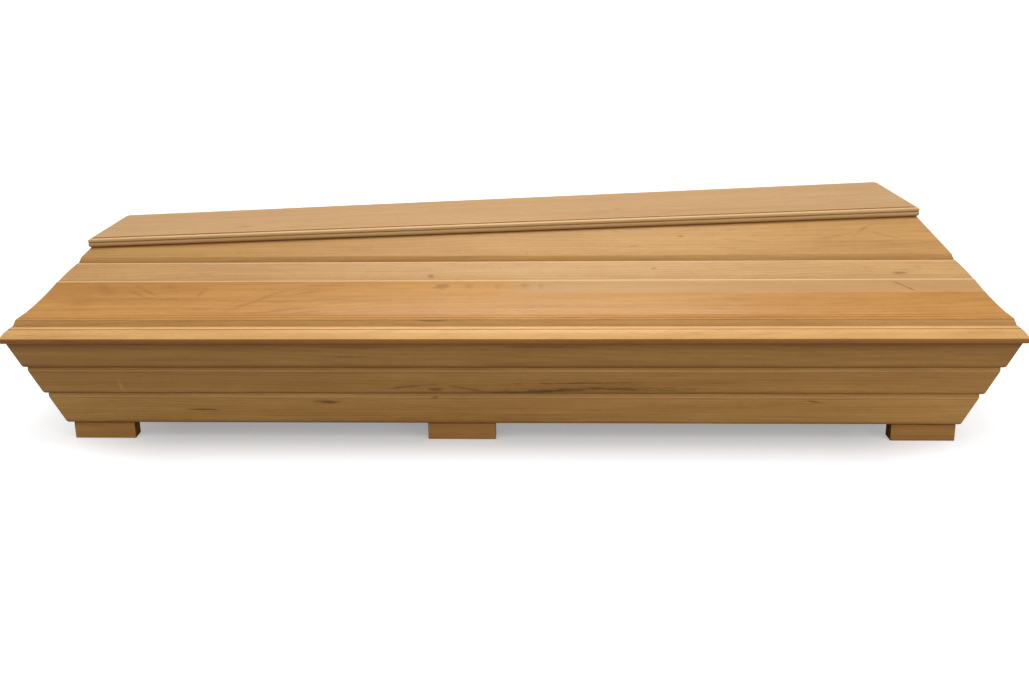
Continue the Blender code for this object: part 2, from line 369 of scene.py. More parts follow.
@dataclass(frozen=True)
class Timber:
    """Lacquered wood: its colours, figure and sheen."""

    light: Rgb
    dark: Rgb
    streak: Rgb = (0.21, 0.086, 0.020)
    ring_width: float = 0.0060
    figure: float = 0.20
    fibre: float = 0.95
    cloud: float = 1.3
    flame: float = 0.70
    flecks: float = 0.34
    pores: float = 0.22
    dryness: float = 0.28
    dashes: float = 0.38
    roughness: float = 0.38
    ior: float = 1.38
    coat: float = 0.06
    coat_roughness: float = 0.22
    coat_ior: float = 1.48
    bump: float = 0.35
    bump_depth: float = 0.0002
    # The colour multiplied in for painted shade, dark joints and end grain.
    stain_and_shade: Rgb = (0.45, 0.32, 0.12)
    # The colour of painted highlights on arrises.
    worn: Rgb = (0.86, 0.60, 0.32)
    bare_cover: float = 0.75
    bare: Rgb = (0.52, 0.33, 0.175)
    strip: Rgb = (0.508, 0.332, 0.156)

    def material(self, name: str, cut: Cut) -> bpy.types.Material:
        """Makes the material of one board.

        Args:
            name: The material's name.
            cut: How the board was cut.

        Returns:
            The material.
        """
        material = bpy.data.materials.new(name)
        material.use_nodes = True
        sheet = NodeSheet(material.node_tree)
        place = sheet.node("ShaderNodeTexCoord").outputs["Object"]
        turned = {"Vector": place, "Location": cut.offset, "Rotation": (0.0, 0.0, -cut.turn)}
        grain = sheet.node("ShaderNodeMapping", {"vector_type": "POINT"}, turned).outputs[0]

        noise = {name: sheet.noise(grain, *shape) for name, shape in NOISES.items()}
        fibre, strand, fleck = noise["fibre"], noise["strand"], noise["fleck"]
        bare, stain_and_shade, end_grain_and_shade, worn = (sheet.attribute(name) for name in ("bare", "stain_and_shade", "end_grain_and_shade", "worn"))

        rings = self.rings(sheet, grain, cut, noise)
        shade = (noise["cloud"] - 0.5) * self.cloud + (rings - 0.5) * self.figure
        shade = shade + (strand - 0.5) * self.fibre + (fibre - 0.5) * (0.45 * self.fibre)
        shade = shade + (noise["flame"] - 0.5) * self.flame + (fleck - 0.5) * self.flecks + 0.5
        colour = sheet.blend(shade.clamped(), self.light, self.dark)
        pores = noise["pore"].between(0.60, 0.72)
        dry = noise["dry"].between(0.66, 0.80)
        dashes = noise["dash"].between(0.60, 0.74) * noise["patch"].between(0.42, 0.62)
        for share in (pores * self.pores, dry * self.dryness, dashes * self.dashes):
            colour = sheet.blend(share, colour, self.streak)
        colour = self.add_marks(sheet, place, cut, noise["rough"] * 0.65 + strand * 0.35, colour)
        # Painted shade in recesses, quirks and under overhangs, and dark joints, multiplied into the colour;
        # end grain darkens the same way, partly as painted shade.
        colour = sheet.blend((stain_and_shade + end_grain_and_shade).clamped(), colour, self.stain_and_shade, "MULTIPLY")
        # Painted highlight on arrises that face the light.
        colour = sheet.blend(worn, colour, self.worn)
        colour = sheet.blend(bare * self.bare_cover, colour, self.bare)

        roughness = (fleck - 0.5) * 0.12 + pores * 0.10 + bare * 0.22 + end_grain_and_shade * 0.35 + self.roughness
        height = fibre * 0.5 + strand * 0.6 - pores * 0.9
        relief = {"Strength": self.bump, "Distance": self.bump_depth, "Height": height}
        inputs = {
            "Base Color": colour,
            "Roughness": roughness,
            "Normal": sheet.node("ShaderNodeBump", None, relief).outputs[0],
            "Coat Weight": (1 - bare) * (1 - end_grain_and_shade) * self.coat,
            "Coat Roughness": self.coat_roughness,
            "Coat IOR": self.coat_ior,
            "IOR": self.ior,
        }
        shader = sheet.node("ShaderNodeBsdfPrincipled", None, inputs)
        sheet.node("ShaderNodeOutputMaterial", None, {"Surface": shader.outputs[0]})
        return material

    def rings(self, sheet: NodeSheet, grain: bpy.types.NodeSocket, cut: Cut,
              noise: dict[str, Value]) -> Value:
        """The growth rings that the cut shows.

        Args:
            sheet: The material's sheet.
            grain: Coordinates along the grain.
            cut: How the board was cut.
            noise: The wood's noises, of which two bend the rings.

        Returns:
            A wave, high in the dark part of each ring.
        """
        along, across, up = sheet.split(grain)
        sideways = across - cut.heart[0]
        upwards = up - cut.heart[1]
        radius = (sideways * sideways + upwards * upwards) ** 0.5
        radius = radius + along * 0.010 + noise["drift"] * 0.050 + noise["cloud"] * 0.012
        wave = (radius / self.ring_width).wave()
        return wave * wave

    def add_marks(self, sheet: NodeSheet, place: bpy.types.NodeSocket, cut: Cut, ragged: Value,
                  colour: bpy.types.NodeSocket) -> bpy.types.NodeSocket:
        """Lays the board's own marks over its colour.

        Args:
            sheet: The material's sheet.
            place: Object coordinates.
            cut: How the board was cut, with its marks.
            ragged: Noise for the marks' edges.
            colour: The colour so far.

        Returns:
            The colour with the marks.
        """
        tints = {
            MarkKind.KNOT: self.streak,
            MarkKind.STREAK: dyed(self.streak, 0.55),
            MarkKind.SHADE: dyed(self.dark, 0.80),
            MarkKind.PALE: dyed(self.light, 1.35),
            MarkKind.STRIP: self.strip,
        }
        if cut.marks:
            x, y, z = sheet.split(place)
        for mark in cut.marks:
            colour = sheet.blend(mark.mask(x, y if cut.flat else z, ragged), colour, tints[mark.kind])
        return colour


@dataclass(frozen=True)
class SectionPoint:
    """A corner of a board's section, or a point on its curve."""

    inset: float
    height: float
    ease: float = 0.0
    bare: float = 0.0
    # How much painted shade, with dark joints, this point takes.
    stain_and_shade: float = 0.0
    # How much painted highlight this point takes.
    worn: float = 0.0

    def toward(self, other: "SectionPoint", distance: float) -> Spot:
        """The place that lies a distance from this point, on the way to another."""
        step = Vector((other.inset - self.inset, other.height - self.height)).normalized() * distance
        return self.inset + step.x, self.height + step.y


Section = list[SectionPoint]


def rear(*spots: Spot) -> Section:
    """The bare corners at the back of a board, a little rounded."""
    return [SectionPoint(*spot, REAR_EASE, 1.0) for spot in spots]


def quarter_turn(steps: int) -> list[Rgb]:
    """A quarter turn in equal steps, each as its share of the way, its sine and its cosine."""
    shares = [i / steps for i in range(steps + 1)]
    return [(share, math.sin(math.pi / 2 * share), math.cos(math.pi / 2 * share)) for share in shares]


def eased(section: Section) -> Section:
    """Rounds each corner of a closed section that asks for it.

    Args:
        section: The corners, in order.

    Returns:
        The section with small rounds for its eased corners.
    """
    result: Section = []
    for i, point in enumerate(section):
        if point.ease <= 0.0:
            result.append(point)
            continue
        start = point.toward(section[i - 1], point.ease)
        finish = point.toward(section[(i + 1) % len(section)], point.ease)
        for step in range(EASE_STEPS + 1):
            t = step / EASE_STEPS
            weights = ((1 - t) ** 2, 2 * t * (1 - t), t * t)
            inset = weights[0] * start[0] + weights[1] * point.inset + weights[2] * finish[0]
            height = weights[0] * start[1] + weights[1] * point.height + weights[2] * finish[1]
            result.append(replace(point, inset=inset, height=height, ease=0.0))
    return result


def bulge(width: float, rise: float, height: float) -> float:
    """The bend of a round curve across a width and a rise, from its height in the middle."""
    return -4 * math.atan(2 * height / math.hypot(width, rise))


def arc(start: Spot, finish: Spot, bend: float, steps: int) -> Section:
    """A curve between two points.

    Args:
        start: Where it starts.
        finish: Where it ends.
        bend: The angle that it turns by, positive where it is hollow.
        steps: How many flat steps stand for it.

    Returns:
        The points of the curve, both ends with them.
    """
    chord = Vector(finish) - Vector(start)
    normal = Vector((chord.y, -chord.x))
    points: Section = []
    for i in range(steps + 1):
        t = i / steps
        sag = math.tan(bend / 4) * 2 * t * (1 - t)
        spot = Vector(start) + chord * t + normal * sag
        points.append(SectionPoint(spot.x, spot.y))
    return points


@dataclass(frozen=True)
class MitreLine:
    """Where a board's end plane stands in plan: a place at no inset, and the run for each metre of it."""

    corner: Vector
    run: Vector


@dataclass(frozen=True)
class Plan:
    """The coffin's outline seen from above, measured at the tip of the lid's rim."""

    length: float = 2.060
    width_foot: float = 0.535
    width_head: float = 0.710
    gap: float = 0.0003
    foot_ratio: float = 1.07
    head_ratio: float = 0.900

    @property
    def turn(self) -> float:
        """Half the width gained for each metre along the coffin."""
        return (self.width_head - self.width_foot) / (2 * self.length)

    @property
    def stretch(self) -> float:
        """How much longer an inset is across the coffin than square to its side."""
        return math.hypot(1.0, self.turn)

    def half_width(self, x: float) -> float:
        """Half the rim's width at a place along the coffin."""
        return (self.width_foot + self.width_head) / 4 + self.turn * x

    def ratio(self, end: End, lid: bool) -> float:
        """How far an end leans in, as a share of how far the sides do."""
        if not lid:
            return 1.0
        return self.foot_ratio if end is End.FOOT else self.head_ratio

    def mitre(self, end: End, side: Side, lid: bool, lengthwise: bool) -> MitreLine:
        """The mitre of one corner, moved back by the gap between boards.

        Args:
            end: Which end.
            side: Which side.
            lid: Whether the board is in the lid.
            lengthwise: Whether the board runs along the coffin.

        Returns:
            The mitre's line in plan.
        """
        back_off = self.gap / math.sqrt(2)
        x = end.value * self.length / 2
        corner = Vector((x, side.value * self.half_width(x), 0.0))
        if lengthwise:
            corner += Vector((-end.value * back_off, -end.value * side.value * back_off * self.turn, 0.0))
        else:
            corner += Vector((0.0, -side.value * back_off, 0.0))
        run_x = -end.value * self.ratio(end, lid)
        run_y = side.value * (self.turn * run_x - self.stretch)
        return MitreLine(corner, Vector((run_x, run_y, 0.0)))


class BoardSweep:
    """A geometry tree that sweeps a section between two mitres."""

    VECTORS = ("Start Corner", "Start Run", "Finish Corner", "Finish Run")

    def __init__(self) -> None:
        """Builds the tree."""
        tree = bpy.data.node_groups.new("Mitred board", "GeometryNodeTree")
        self.tree = tree
        self.sockets: dict[str, str] = {}
        tree.interface.new_socket("Section", in_out="INPUT", socket_type="NodeSocketGeometry")
        for name in self.VECTORS:
            self.add_input(name, "NodeSocketVector")
        self.add_input("Steps", "NodeSocketInt")
        self.add_input("Sharp Angle", "NodeSocketFloat")
        self.add_input("Wood", "NodeSocketMaterial")
        tree.interface.new_socket("Board", in_out="OUTPUT", socket_type="NodeSocketGeometry")
        self.build(NodeSheet(tree))

    def add_input(self, name: str, kind: str) -> None:
        """Adds a named input and keeps its identifier."""
        socket = self.tree.interface.new_socket(name, in_out="INPUT", socket_type=kind)
        self.sockets[name] = socket.identifier

    def build(self, sheet: NodeSheet) -> None:
        """Adds the tree's nodes.

        Args:
            sheet: The tree's sheet.
        """
        given = sheet.node("NodeGroupInput").outputs
        loop = sheet.node("GeometryNodeMeshToCurve", None, {"Mesh": given["Section"]})
        line = sheet.node("GeometryNodeCurvePrimitiveLine", None, {"Start": (0, 0, 0), "End": (1, 0, 0)})
        inputs = {"Curve": line.outputs[0], "Count": given["Steps"]}
        path = sheet.node("GeometryNodeResampleCurve", None, inputs)
        factor = sheet.node("GeometryNodeSplineParameter").outputs["Factor"]
        settings = {"data_type": "FLOAT", "domain": "POINT"}
        inputs = {"Geometry": path.outputs[0], "Name": "along", "Value": factor}
        path = sheet.node("GeometryNodeStoreNamedAttribute", settings, inputs)
        inputs = {"Curve": path.outputs[0], "Profile Curve": loop.outputs[0], "Fill Caps": True}
        swept = sheet.node("GeometryNodeCurveToMesh", None, inputs).outputs[0]

        ends = [self.end_place(sheet, given, word) for word in ("Start", "Finish")]
        along = sheet.node("GeometryNodeInputNamedAttribute", {"data_type": "FLOAT"}, {"Name": "along"})
        inputs = {0: along.outputs[0], 4: ends[0], 5: ends[1]}
        spot = sheet.node("ShaderNodeMix", {"data_type": "VECTOR"}, inputs).outputs[1]
        placed = sheet.node("GeometryNodeSetPosition", None, {"Geometry": swept, "Position": spot})
        inputs = {0: placed.outputs[0], 2: True}
        smooth = sheet.node("GeometryNodeSetShadeSmooth", {"domain": "FACE"}, inputs)
        angle = sheet.node("GeometryNodeInputMeshEdgeAngle").outputs[0]
        settings = {"data_type": "FLOAT", "operation": "GREATER_THAN"}
        sharp = sheet.node("FunctionNodeCompare", settings, {0: angle, 1: given["Sharp Angle"]})
        inputs = {0: smooth.outputs[0], 1: sharp.outputs[0], 2: False}
        creased = sheet.node("GeometryNodeSetShadeSmooth", {"domain": "EDGE"}, inputs)
        real = sheet.node("GeometryNodeRealizeInstances", None, {0: creased.outputs[0]})
        inputs = {0: real.outputs[0], "Material": given["Wood"]}
        finished = sheet.node("GeometryNodeSetMaterial", None, inputs)
        sheet.node("NodeGroupOutput", None, {0: finished.outputs[0]})

    def end_place(self, sheet: NodeSheet, given: bpy.types.NodeOutputs, word: str) -> bpy.types.NodeSocket:
        """Where each point of the section stands on one mitre.

        Args:
            sheet: The tree's sheet.
            given: The tree's inputs.
            word: Start or Finish.

        Returns:
            The place's socket.
        """
        kind = "ShaderNodeVectorMath"
        named = {"Name": word.lower()}
        point = sheet.node("GeometryNodeInputNamedAttribute", {"data_type": "FLOAT_VECTOR"}, named)
        inset, height, _ = sheet.split(point.outputs[0])
        run = sheet.node(kind, {"operation": "SCALE"}, {0: given[f"{word} Run"], 3: inset}).outputs[0]
        flat = sheet.node(kind, {"operation": "ADD"}, {0: given[f"{word} Corner"], 1: run}).outputs[0]
        rise = sheet.node("ShaderNodeCombineXYZ", None, {2: height}).outputs[0]
        return sheet.node(kind, {"operation": "ADD"}, {0: flat, 1: rise}).outputs[0]

    def sweep(self, name: str, sections: tuple[Section, Section], mitres: tuple[MitreLine, MitreLine],
              wood: bpy.types.Material, steps: int, ease: float = 0.0) -> bpy.types.Object:
        """Sweeps one board and keeps the result as a plain mesh.

        Args:
            name: The new object's name.
            sections: The section at the start and at the finish, with as many points each.
            mitres: The start's and the finish's mitre.
            wood: The board's material.
            steps: How many rings of points run along it.
            ease: How far every arris is rounded, or 0 where the section has its own rounds.

        Returns:
            The board.
        """
        blank = bpy.data.objects.new(name + "_section", section_mesh(name, sections))
        bpy.context.scene.collection.objects.link(blank)
        modifier = blank.modifiers.new("Sweep", "NODES")
        modifier.node_group = self.tree
        given = dict(zip(self.VECTORS, (mitres[0].corner, mitres[0].run, mitres[1].corner, mitres[1].run)))
        given |= {"Steps": steps, "Sharp Angle": SHARP_ANGLE, "Wood": wood}
        for word, value in given.items():
            modifier[self.sockets[word]] = value
        if ease > 0.0:
            bevel = blank.modifiers.new("Arrises", "BEVEL")
            bevel.width = ease
            bevel.segments = ARRIS_SEGMENTS
            bevel.limit_method = "ANGLE"
        weighted = blank.modifiers.new("Flats", "WEIGHTED_NORMAL")
        weighted.keep_sharp = True
        graph = bpy.context.evaluated_depsgraph_get()
        shown = blank.evaluated_get(graph)
        mesh = bpy.data.meshes.new_from_object(shown, preserve_all_data_layers=True, depsgraph=graph)
        mesh.name = name
        bpy.data.meshes.remove(blank.data)
        return add_piece(name, mesh)


def paint(mesh: bpy.types.Mesh, word: str, values: list[float], domain: str = "POINT") -> None:
    """Gives each point or face of a mesh its own value of a named attribute."""
    layer = mesh.attributes.new(word, "FLOAT", domain)
    layer.data.foreach_set("value", values)


def section_mesh(name: str, sections: tuple[Section, Section]) -> bpy.types.Mesh:
    """A closed loop of edges that carries a board's section at both of its ends.

    Args:
        name: The mesh's name.
        sections: The section at the start and at the finish.

    Returns:
        The mesh.
    """
    start, finish = sections
    count = len(start)
    mesh = bpy.data.meshes.new(name + "_section")
    edges = [(i, (i + 1) % count) for i in range(count)]
    mesh.from_pydata([(p.inset, p.height, 0.0) for p in start], edges, [])
    for word, points in (("start", start), ("finish", finish)):
        layer = mesh.attributes.new(word, "FLOAT_VECTOR", "POINT")
        layer.data.foreach_set("vector", [c for p in points for c in (p.inset, p.height, 0.0)])
    for word in ("bare", "stain_and_shade", "worn"):
        paint(mesh, word, [getattr(p, word) for p in start])
    return mesh


def add_piece(name: str, mesh: bpy.types.Mesh) -> bpy.types.Object:
    """Links a mesh as an object, with its faces turned outwards."""
    bm = bmesh.new()
    bm.from_mesh(mesh)
    turned = bm.calc_volume(signed=True) < 0.0
    bm.free()
    if turned:
        mesh.flip_normals()
    piece = bpy.data.objects.new(name, mesh)
    bpy.context.scene.collection.objects.link(piece)
    return piece


def hand_over(piece: bpy.types.Object, node: str) -> None:
    """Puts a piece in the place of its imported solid.

    Args:
        piece: The finished piece.
        node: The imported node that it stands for.
    """
    for word in ("start", "finish", "along"):
        layer = piece.data.attributes.get(word)
        if layer is not None:
            piece.data.attributes.remove(layer)
    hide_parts(node)
    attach(piece, BODY)
    low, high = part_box(node)
    reach = [(min(places), max(places)) for places in zip(*(tuple(corner) for corner in piece.bound_box))]
    short = max(max(abs(reach[i][0] - low[i]), abs(reach[i][1] - high[i])) for i in range(3))
    LOG.info("%s: %d faces, within %.2f mm of its solid", piece.name, len(piece.data.polygons), short * 1000)


def random_cut(seed: int, centre: Spot, turn: float, marks: tuple[Mark, ...] = (),
               flat: bool = False) -> Cut:
    """A cut from a place in the plank that its seed gives.

    Args:
        seed: The board's own seed.
        centre: The board's middle, across its grain and up.
        turn: Which way the grain runs, as a turn about Z.
        marks: The board's own marks.
        flat: Whether the marks are placed by x and y, and not by x and z.

    Returns:
        The cut.
    """
    draw = random.Random(seed)
    offset = (draw.uniform(-9, 9), draw.uniform(-9, 9), draw.uniform(-9, 9))
    inward = -math.copysign(draw.uniform(0.05, 0.13), centre[0])
    heart = (offset[1] + centre[0] + inward, offset[2] + centre[1] + draw.uniform(-0.07, 0.03))
    return Cut(offset, turn, heart, marks, flat)


@dataclass
class BoardFrame:
    """Four mitred boards round the coffin, with one section at each end."""

    plan: Plan
    sweep: BoardSweep
    name: str
    slot: str
    timber: Timber
    lid: bool
    sections: dict[End, Section]
    seed: int
    marks: tuple[Mark, ...] = ()
    steps: int = 9

    def build(self) -> None:
        """Sweeps the four boards."""
        for number, place in enumerate(Place):
            mitres = tuple(self.plan.mitre(*corner, self.lid, place.lengthwise) for corner in place.corners)
            sections = tuple(eased(self.sections[end]) for end, _ in place.corners)
            node = f"{self.name}_{place.word}"
            wood = self.dress(number, place)
            piece = self.sweep.sweep(f"{node}_wood", sections, mitres, wood, self.steps)
            hand_over(piece, node)

    def dress(self, number: int, place: Place) -> bpy.types.Material:
        """The material of one board, with the grain along it.

        Args:
            number: The board's number in the frame.
            place: Where it stands.

        Returns:
            The material.
        """
        end, side = place.corners[0]
        section = self.sections[End.HEAD]
        inset = sum(point.inset for point in section) / len(section)
        if place.lengthwise:
            turn = side.value * math.atan(self.plan.turn)
            across = side.value * (self.plan.half_width(0.0) - inset)
        else:
            turn = math.pi / 2
            across = -end.value * (self.plan.length / 2 - inset)
        centre = (across, sum(point.height for point in section) / len(section))
        cut = random_cut(self.seed * 10 + number, centre, turn, self.marks if place is Place.FRONT else ())
        return self.timber.material(f"{self.name}_{place.word}_wood", cut)


@dataclass
class Body:
    """The coffin's walls, three boards high, its floor, and the blocks that it stands on."""

    plan: Plan
    sweep: BoardSweep
    block_height: float = 0.036
    block_depth: float = 0.035
    block_setback: float = 0.002
    block_shade: float = 0.012
    end_block_length: float = 0.132
    foot_block_inset: float = 0.099
    head_block_inset: float = 0.094
    middle_block_length: float = 0.144
    middle_block_x: float = -0.093
    rows: tuple[tuple[str, float, float], ...] = (
        ("body_upper_board", 0.0590, 0.0),
        ("body_middle_board", 0.0655, 0.009),
        ("body_lower_board", 0.0770, 0.009),
    )
    wall: float = 0.024
    top_inset: float = 0.0095
    lean: float = 0.345
    step: float = 0.0065
    chamfer: float = 0.0015
    arris_radius: float = 0.005
    arris_steps: int = 10
    arris_clear: float = 0.009
    # How far above the band's lower arris the painted highlight fades out.
    band_shade: Spot = (0.005, 0.0022)
    band_worn: float = 0.002
    rim_shade: Spot = (0.022, 0.006)
    floor_thickness: float = 0.018

    @property
    def top(self) -> float:
        """The height of the walls' upper edge."""
        return self.block_height + sum(height for _, height, _ in self.rows) + 3 * self.plan.gap

    def section(self, bottom: float, height: float, top_inset: float, band: float) -> tuple[Section, float]:
        """One board's section, and its inset at the foot.

        Args:
            bottom: Its lower edge's height.
            height: How high the board is.
            top_inset: Its inset at the top.
            band: The height of the upright band at its top.

        Returns:
            The section, and the inset of its face's foot.
        """
        top = bottom + height
        foot = top_inset + self.lean * (height - band)
        radius = self.arris_radius
        section = rear((top_inset + self.wall, top), (foot + self.wall, bottom))
        # The lower arris is darkened: a dark joint line, partly painted shade on its underside.
        for share, sin, cos in quarter_turn(self.arris_steps):
            rise = radius * (1 - cos)
            inset = foot + radius * (1 - sin) - self.lean * rise
            section.append(SectionPoint(inset, bottom + rise, stain_and_shade=0.9 - 0.6 * share))
        section.append(SectionPoint(foot - self.lean * self.arris_clear, bottom + self.arris_clear))
        # Painted shade: a thin dark line just under the band's lower arris, and on the upper board a
        # darkening up to its top, under the rim's overhang.
        far, near = self.band_shade if band > 0 else self.rim_shade
        section += [
            SectionPoint(top_inset + self.lean * far, top - band - far),
            SectionPoint(top_inset + self.lean * near, top - band - near, stain_and_shade=0.28 if band > 0 else 0.5),
        ]
        if band > 0:
            section += [
                # Painted highlight on the band's lower arris; the top chamfer is darkened as a dark joint.
                SectionPoint(top_inset, top - band, 0.0008, worn=0.14),
                SectionPoint(top_inset, top - band + self.band_worn),
                SectionPoint(top_inset, top - self.chamfer, 0.0004),
                SectionPoint(top_inset + self.chamfer, top, 0.0004, stain_and_shade=0.6),
            ]
        else:
            # Painted shadow under the rim's overhang, darkest at the board's top.
            section.append(SectionPoint(top_inset, top, 0.0006, stain_and_shade=0.9))
        return section, foot

    def build(self, timbers: dict[str, Timber], marks: dict[str, tuple[Mark, ...]]) -> None:
        """Builds the rows from the top down, then the floor and the blocks.

        Args:
            timbers: The wood of each row, of the floor and of the blocks.
            marks: The front boards' marks, by row.
        """
        top = self.top
        inset = self.top_inset
        for seed, (name, height, band) in enumerate(self.rows, start=1):
            bottom = top - height
            section, foot = self.section(bottom, height, inset, band)
            BoardFrame(self.plan, self.sweep, name, "body_boards", timbers[name], False,
                       dict.fromkeys(End, section), seed, marks[name]).build()
            top = bottom - self.plan.gap
            inset = foot + self.step
        inner_lean = self.lean * (height - band) / height
        self.build_floor(foot + self.wall + self.plan.gap, inner_lean, timbers["floor"])
        self.build_blocks(foot + self.block_setback, timbers["blocks"])

    def build_floor(self, bottom_inset: float, inner_lean: float, timber: Timber) -> None:
        """The floor board, its edges bevelled to the walls' inner faces.

        Args:
            bottom_inset: Its inset at its underside.
            inner_lean: How far the walls' inner faces lean out for each metre up.
            timber: Its wood.
        """
        bottom = self.block_height + self.plan.gap
        top_inset = bottom_inset - inner_lean * self.floor_thickness
        loops = []
        for inset, height in ((bottom_inset, bottom), (top_inset, bottom + self.floor_thickness)):
            loop = []
            for end, side in CORNERS:
                x = end.value * (self.plan.length / 2 - inset)
                y = side.value * (self.plan.half_width(x) - inset * self.plan.stretch)
                loop.append((x, y, height))
            loops.append(loop)
        wood = timber.material("floor_board_wood", random_cut(FLOOR_SEED, (0.0, bottom), 0.0))
        piece = lofted("floor_board_wood", loops, wood, 0.0008)
        paint(piece.data, "bare", [1.0] * len(piece.data.vertices))
        hand_over(piece, "floor_board")

    def build_blocks(self, face_inset: float, timber: Timber) -> None:
        """Three blocks under each side, turned with the side.

        Args:
            face_inset: The inset of the blocks' faces.
            timber: Their wood.
        """
        middle = (self.plan.length - self.end_block_length) / 2
        places = (
            ("block_foot_end", self.foot_block_inset - middle, self.end_block_length),
            ("block_middle", self.middle_block_x, self.middle_block_length),
            ("block_head_end", middle - self.head_block_inset, self.end_block_length),
        )
        inner = face_inset + self.block_depth
        high = self.block_height
        spots = ((inner, high), (inner, 0.0), (face_inset, 0.0), (face_inset, high - self.block_shade))
        # Painted shadow: the block's face darkens towards its top, under the body's overhang.
        section = [SectionPoint(*spot) for spot in spots] + [SectionPoint(face_inset, high, stain_and_shade=0.5)]
        for number, (name, x, length) in enumerate(places):
            for side in Side:
                mitres = []
                for end in (-0.5, 0.5):
                    corner_x = x + end * length
                    corner = Vector((corner_x, side.value * self.plan.half_width(corner_x), 0.0))
                    mitres.append(MitreLine(corner, Vector((0.0, -side.value * self.plan.stretch, 0.0))))
                node = f"{name}_{side.name.lower()}"
                centre = (side.value * (self.plan.half_width(x) - inner), 0.0)
                turn = side.value * math.atan(self.plan.turn)
                cut = random_cut(BLOCK_SEED + number * 2 + side.value, centre, turn)
                wood = timber.material(f"{node}_wood", cut)
                piece = self.sweep.sweep(f"{node}_wood", (section, section), tuple(mitres), wood, 5, 0.0012)
                # The blocks' end faces are end grain: darker, rougher and without coat. Their darkening is
                # partly painted shade on the inner ends under the coffin.
                ends = [float(abs(face.normal.x) > 0.9) for face in piece.data.polygons]
                paint(piece.data, "end_grain_and_shade", ends, "FACE")
                hand_over(piece, node)


def lofted(name: str, loops: list[list[tuple[float, float, float]]], wood: bpy.types.Material,
           ease: float) -> bpy.types.Object:
    """A closed piece through equal loops of points, with its arrises eased.

    Args:
        name: Its name.
        loops: The loops, in order.
        wood: Its material.
        ease: How far its arrises are rounded, or 0 to leave them.

    Returns:
        The piece.
    """
    bm = bmesh.new()
    rings = [[bm.verts.new(point) for point in loop] for loop in loops]
    for first, second in zip(rings, rings[1:]):
        for i in range(len(first)):
            j = (i + 1) % len(first)
            bm.faces.new((first[i], first[j], second[j], second[i]))
    bm.faces.new(rings[0])
    bm.faces.new(rings[-1])
    bmesh.ops.recalc_face_normals(bm, faces=bm.faces)
    if ease > 0.0:
        edges = [e for e in bm.edges if e.calc_face_angle(0.0) > ARRIS_ANGLE]
        bmesh.ops.bevel(bm, geom=edges, offset=ease, segments=ARRIS_SEGMENTS, profile=0.5, affect="EDGES")
    for face in bm.faces:
        face.smooth = True
    mesh = bpy.data.meshes.new(name)
    bm.to_mesh(mesh)
    bm.free()
    mesh.materials.append(wood)
    mesh.set_sharp_from_angle(angle=SHARP_ANGLE)
    return add_piece(name, mesh)


